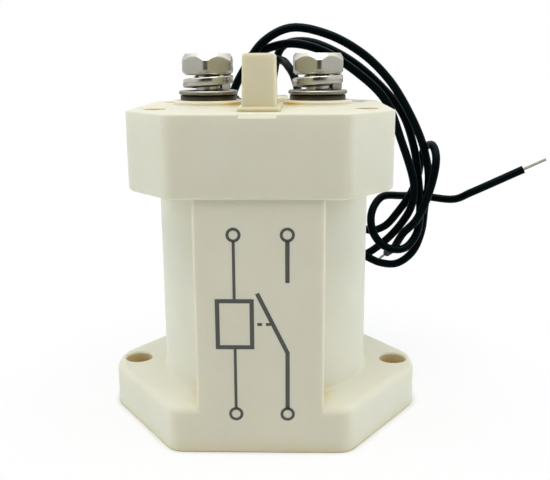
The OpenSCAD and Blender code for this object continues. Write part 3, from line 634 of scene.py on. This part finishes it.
skin = add(coil_tree, "GeometryNodeCurveToMesh", {
    "Curve": upright.outputs[0], "Profile Curve": soft.outputs[0], "Fill Caps": True})
close_recipe(coil_tree, sizes, skin.outputs[0])

straight = [Vector((0, 0, 0)), Vector((0, 0, 0.01))]
terminal_x = 0.01125

# %% [markdown]
# A split washer is not quite one turn of a flat wire. The cut's two ends stand a
# little apart, one higher than the other, and it faces another way on each bolt.

# %% Split washers
wire, cut_degrees = 0.0017, 10
for side, middle, start_degrees in (("left", -terminal_x, 32), ("right", terminal_x, 12)):
    low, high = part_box("split_washer_" + side)
    washer = grow(side + "_split_washer", coil_tree, straight, wound_stainless,
                  Turns=(360 - cut_degrees) / 360, Radius=0.00415, Rise=high.z - low.z - wire,
                  Start=start_degrees / 360, Closed_ends=0.12, Steps=97, Wire_width=0.002,
                  Wire_height=wire, Corner=0.00028, Centre_X=middle, Base_Z=low.z + wire / 2)
    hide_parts("split_washer_" + side)
    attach(washer, side + "_washers")

# %% [markdown]
# The bolts carry a rolled M6 thread, 1 mm from crest to crest. Only a few turns
# show when a bolt is undone. The ridge is its own piece on each bolt's plain shank.

# %% Threads
thread_pitch, thread_turns, plain_tip = 0.001, 12.6, 0.0011
for side, middle in (("left", -terminal_x), ("right", terminal_x)):
    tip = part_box("bolt_" + side)[0]
    thread = grow(side + "_thread", coil_tree, straight, thread_steel_painted_shade, Turns=thread_turns,
                  Radius=0.00237, Rise=thread_turns * thread_pitch, Steps=456, Wire_width=0.0009,
                  Wire_height=0.00042, Corner=0.00018, Centre_X=middle, Base_Z=tip.z + plain_tip)
    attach(thread, side + "_bolt")

# %% [markdown]
# Both springs are round wire with closed end turns; the real ones shorten as the
# plunger moves.

# %% Springs
low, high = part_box("return_spring")
wire = 0.0006
return_spring = grow("coil_return_spring", coil_tree, straight, spring_wire, Turns=6.0,
                     Radius=0.0026, Rise=high.z - low.z - wire, Closed_ends=0.1, Steps=241,
                     Wire_width=wire, Wire_height=wire, Corner=wire / 2, Base_Z=low.z + wire / 2)
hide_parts("return_spring")
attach(return_spring, "case")
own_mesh(return_spring)
print("return spring, mm:", round((high.z - low.z) * 1000, 2))

low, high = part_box("contact_spring")
wire = 0.0009
contact_spring = grow("coil_contact_spring", coil_tree, straight, spring_wire, Turns=4.0,
                      Radius=0.0032, Rise=high.z - low.z - wire, Closed_ends=0.1, Steps=193,
                      Wire_width=wire, Wire_height=wire, Corner=wire / 2, Base_Z=low.z + wire / 2)
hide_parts("contact_spring")
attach(contact_spring, "plunger")
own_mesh(contact_spring)
print("contact spring, mm:", round((high.z - low.z) * 1000, 2))

# %% [markdown]
# The coil is wound in many layers, and only the outer one shows. It is one wire
# wound turn on turn over the ridged solid of the engineering model.

# %% Outer layer of the winding
low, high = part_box("winding")
wire = 0.0005
turns, steps_per_turn = int((high.z - low.z) / wire) - 1, 40
outer_layer = grow("outer_winding_layer", coil_tree, straight, enamelled_wire,
                   Turns=float(turns), Radius=0.0118, Rise=high.z - low.z - wire,
                   Steps=turns * steps_per_turn + 1, Wire_width=wire, Wire_height=wire * 0.97,
                   Corner=wire / 2, Base_Z=low.z + wire / 2)
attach(outer_layer, "case")

# %% [markdown]
# The flat pad on the front is printed. What belongs there is a wiring diagram, so
# the standard drawing of a relay is put on it, turned on its side as the pad is tall:
# a coil box on its two wires, and an open contact that it closes through a dashed
# link. Ink is a film a few hundredths of a millimetre thick, so a flat ribbon just
# proud of the pad is enough. A ribbon's corners are cut on the slant, as a picture
# frame's are, so that no two pieces of it lie on each other.

# %% Ink and its ribbons
ink, tree, shader = finish("dark_pad_ink", "#4B4C48", 0.45, IOR=1.48)
wear = grain(tree, 0.5, 3.0)
shade_between(tree, shader, wear.outputs["Fac"], "#40413E", "#5A5B55")


def ribbon(points, width, closed=False):
    """Four-cornered faces along a line of (x, z) points in mm, slanted at each corner."""
    points = [Vector(p) for p in points]
    rims = []
    for i, point in enumerate(points):
        last = i + 1 == len(points)
        before = points[i - 1] if i or closed else 2 * point - points[1]
        after = points[(i + 1) % len(points)] if closed or not last else 2 * point - points[i - 1]
        ahead, behind = (after - point).normalized(), (point - before).normalized()
        across = (ahead + behind).normalized().orthogonal()
        reach = width / 2 / across.dot(ahead.orthogonal())
        rims.append((point - across * reach, point + across * reach))
    pairs = list(zip(rims, rims[1:])) + ([(rims[-1], rims[0])] if closed else [])
    return [(a[0], b[0], b[1], a[1]) for a, b in pairs]


# %% Wiring symbol on the pad
def ring_points(x, z, radius, corners=24):
    angles = [math.tau * k / corners for k in range(corners)]
    return [(x + radius * math.cos(angle), z + radius * math.sin(angle)) for angle in angles]


# Millimetres, seen from the front: x to the right and z up from the floor.
pen, thin_pen, eye = 0.8, 0.55, 1.1
contact_x, coil_x = 5.2, -4.6
coil_left, coil_right, coil_bottom, coil_top = coil_x - 3.2, coil_x + 3.2, 21.5, 30.5
symbol = []
for low_z, high_z in ((9.1, 20.0), (34.0, 41.9)):
    symbol += ribbon([(contact_x, low_z), (contact_x, high_z)], pen)
symbol += ribbon([(contact_x - 5.6, 32.0), (contact_x, 20.4), (contact_x, 20.0)], pen)
symbol += ribbon([(coil_left, coil_bottom), (coil_right, coil_bottom),
                  (coil_right, coil_top), (coil_left, coil_top)], pen, True)
for low_z, high_z in ((9.1, 21.1), (30.9, 41.9)):
    symbol += ribbon([(coil_x, low_z), (coil_x, high_z)], thin_pen)
for x in (contact_x, coil_x):
    for z in (8.0, 43.0):
        symbol += ribbon(ring_points(x, z, eye), thin_pen, True)
link_z, dash, dash_step = (coil_bottom + coil_top) / 2, 0.9, 1.6
for k in range(2):
    start = coil_right + 1.0 + dash_step * k
    symbol += ribbon([(start, link_z), (start + dash, link_z)], thin_pen)
print("ink faces:", len(symbol))

ink_thickness = 0.00002
pad_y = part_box("housing")[0].y - ink_thickness
corners = [(corner.x / 1000, pad_y, corner.y / 1000) for face in symbol for corner in face]
mesh = bpy.data.meshes.new("pad_symbol")
mesh.from_pydata(corners, [], [range(first, first + 4) for first in range(0, len(corners), 4)])
for face in mesh.polygons:
    if face.normal.y > 0:
        face.flip()
mesh.materials.append(ink)
pad_symbol = bpy.data.objects.new("pad_symbol", mesh)
bpy.context.scene.collection.objects.link(pad_symbol)
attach(pad_symbol, "case")

# %% [markdown]
# The engineering model has its rounded corners as narrow flats. More faces would
# round them too, at the cost of a heavier model. Merging the loose triangles and
# smoothing every edge that bends less than 28 degrees makes the flats read as round,
# while real edges stay crisp.

# %% Smooth the rounded corners
sharp_from = math.radians(28)
smooth_tree = bpy.data.node_groups.new("smooth shallow edges", "GeometryNodeTree")
smooth_tree.interface.new_socket("Geometry", in_out="INPUT", socket_type="NodeSocketGeometry")
smooth_tree.interface.new_socket("Geometry", in_out="OUTPUT", socket_type="NodeSocketGeometry")
entry = smooth_tree.nodes.new("NodeGroupInput")
merged = add(smooth_tree, "GeometryNodeMergeByDistance", {
    "Geometry": entry.outputs[0], "Distance": 1e-6})
bend = add(smooth_tree, "GeometryNodeInputMeshEdgeAngle")
shallow = add(smooth_tree, "FunctionNodeCompare", {
    0: bend.outputs["Unsigned Angle"], 1: sharp_from}, operation="LESS_THAN")
faces_smooth = add(smooth_tree, "GeometryNodeSetShadeSmooth", {"Geometry": merged.outputs[0]},
                   domain="FACE")
edges_smooth = add(smooth_tree, "GeometryNodeSetShadeSmooth", {
    "Geometry": faces_smooth.outputs[0], "Shade Smooth": shallow.outputs[0]}, domain="EDGE")
smooth_tree.links.new(edges_smooth.outputs[0], smooth_tree.nodes.new("NodeGroupOutput").inputs[0])

replaced = ("split_washer_left", "split_washer_right", "contact_spring", "return_spring",
            "lead_left", "lead_right", "conductor_left", "conductor_right")
for name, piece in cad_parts.items():
    if name not in replaced:
        modifier = piece.modifiers.new("smooth shallow edges", "NODES")
        modifier.node_group = smooth_tree

# %% [markdown]
# The contactor stands on a pale sheet that fades into a white surround. The light
# is soft: a wide box lamp above the front and a low one at each side, and a surround
# that is dimmer and warmer on the camera's side, so the front face is the darkest of
# the shell, and dimmer above, so the pale top keeps its tone.
# Seen by the camera the surround is plain white, and the floor keeps the shadow but
# turns to plain white a hand's width away. The shadow is darkest in the narrow gap
# along the base's lower edge, so the white is held back there.
# Metal sees the white surround too, with the bright box lamp overhead and a dark gap
# where the camera stands. The surround's colours are amounts of light and not paints,
# so they are written as linear numbers.

# %% Floor
floor_mesh = bpy.data.meshes.new("floor")
half_side, just_below = 2, 0.0001
corners = [(x * half_side, y * half_side, 0) for x, y in ((-1, -1), (1, -1), (1, 1), (-1, 1))]
floor_mesh.from_pydata(corners, [], [(0, 1, 2, 3)])
floor = bpy.data.objects.new("floor", floor_mesh)
bpy.context.scene.collection.objects.link(floor)
floor.location.z = -just_below
paper, tree, shader = finish("pale_paper", "#EDEDEB", 0.9)
place = add(tree, "ShaderNodeTexCoord")
distance = add(tree, "ShaderNodeVectorMath", {0: place.outputs["Object"]}, operation="LENGTH")
whiteness = add(tree, "ShaderNodeMapRange", {
    "Value": distance.outputs["Value"], "From Min": 0.04, "From Max": 0.12,
    "To Min": 0.8, "To Max": 1.0}, interpolation_type="SMOOTHSTEP")
rays = add(tree, "ShaderNodeLightPath")
white = add(tree, "ShaderNodeEmission", {"Color": (1, 1, 1, 1), "Strength": 1.02})
open_sky = add(tree, "ShaderNodeAmbientOcclusion", {"Distance": 0.0018}, samples=8)
clear_of_base = add(tree, "ShaderNodeMapRange", {
    "Value": open_sky.outputs["AO"], "From Min": 0.55, "From Max": 0.9})
seen_white = add(tree, "ShaderNodeMath", {0: clear_of_base.outputs[0], 1: whiteness.outputs[0]},
                 operation="MULTIPLY")
veil = add(tree, "ShaderNodeMath", {0: rays.outputs["Is Camera Ray"], 1: seen_white.outputs[0]},
           operation="MULTIPLY")
sheet = add(tree, "ShaderNodeMixShader", {
    0: veil.outputs[0], 1: shader.outputs[0], 2: white.outputs[0]})
tree.links.new(sheet.outputs[0], tree.nodes["Material Output"].inputs["Surface"])
floor_mesh.materials.append(paper)

# %% Surround
world = bpy.data.worlds.new("soft_surround")
world.use_nodes = True
bpy.context.scene.world = world
tree = world.node_tree
background = tree.nodes["Background"]
place = add(tree, "ShaderNodeTexCoord")
axes = add(tree, "ShaderNodeSeparateXYZ", {0: place.outputs["Generated"]})
depth = add(tree, "ShaderNodeMapRange", {
    "Value": axes.outputs["Y"], "From Min": -0.8, "From Max": 0.4}, interpolation_type="SMOOTHSTEP")
tone = add(tree, "ShaderNodeMix", {"Factor": depth.outputs[0]}, data_type="RGBA")
tone.inputs[6].default_value = (0.1, 0.06, 0.0, 1)
tone.inputs[7].default_value = (0.84, 0.91, 0.97, 1)
tree.links.new(tone.outputs[2], background.inputs["Color"])
low_light = add(tree, "ShaderNodeMapRange", {
    "Value": axes.outputs["Z"], "From Min": 0.2, "From Max": 0.8, "To Min": 1.0, "To Max": 0.3})
tree.links.new(low_light.outputs[0], background.inputs["Strength"])
rays = add(tree, "ShaderNodeLightPath")
gap = add(tree, "ShaderNodeMapRange", {
    "Value": axes.outputs["Y"], "From Min": -0.92, "From Max": -0.65})
mirrored = add(tree, "ShaderNodeMix", {"Factor": gap.outputs[0]}, data_type="RGBA")
mirrored.inputs[6].default_value = (0.03, 0.03, 0.03, 1)
mirrored.inputs[7].default_value = (1, 1, 1, 1)
overhead = add(tree, "ShaderNodeMapRange", {
    "Value": axes.outputs["Z"], "From Min": 0.35, "From Max": 0.75, "To Min": 1.0, "To Max": 2.0})
in_metal = add(tree, "ShaderNodeBackground", {
    "Color": mirrored.outputs[2], "Strength": overhead.outputs[0]})
with_metal = add(tree, "ShaderNodeMixShader", {
    0: rays.outputs["Is Glossy Ray"], 1: background.outputs[0], 2: in_metal.outputs[0]})
clear = add(tree, "ShaderNodeMath", {
    0: rays.outputs["Is Camera Ray"], 1: rays.outputs["Is Transmission Ray"]}, operation="MAXIMUM")
plain = add(tree, "ShaderNodeBackground", {"Color": (1, 1, 1, 1), "Strength": 1.0})
seen = add(tree, "ShaderNodeMixShader", {
    0: clear.outputs[0], 1: with_metal.outputs[0], 2: plain.outputs[0]})
tree.links.new(seen.outputs[0], tree.nodes["World Output"].inputs["Surface"])


# %% Lamps
def box_lamp(name, place, target, size, watts, card, in_mirrors):
    """A soft box lamp that faces its target and stays out of the camera's sight."""
    lamp = bpy.data.lights.new(name, "AREA")
    lamp.shape = "RECTANGLE"
    lamp.size, lamp.size_y = size
    lamp.energy = watts
    lamp.color = paint(card)[:3]
    holder = bpy.data.objects.new(name, lamp)
    holder.location = place
    holder.rotation_euler = (Vector(target) - Vector(place)).to_track_quat("-Z", "Y").to_euler()
    holder.visible_camera = False
    holder.visible_glossy = in_mirrors
    bpy.context.scene.collection.objects.link(holder)
    print(name, watts, "W")


body_middle = (0, 0, 0.04)
box_lamp("top_box", (0, -0.22, 0.75), body_middle, (0.7, 0.6), 4.3, "#FFFEFB", True)
box_lamp("left_box", (-0.8, 0, 0.26), body_middle, (0.8, 0.6), 3.0, "#E6F4FF", False)
box_lamp("right_box", (0.8, 0, 0.26), body_middle, (0.8, 0.6), 3.0, "#E6F4FF", False)

# %% [markdown]
# The plain Standard view shows a colour as it was written.

# %% Colour handling
bpy.context.scene.view_settings.view_transform = "Standard"
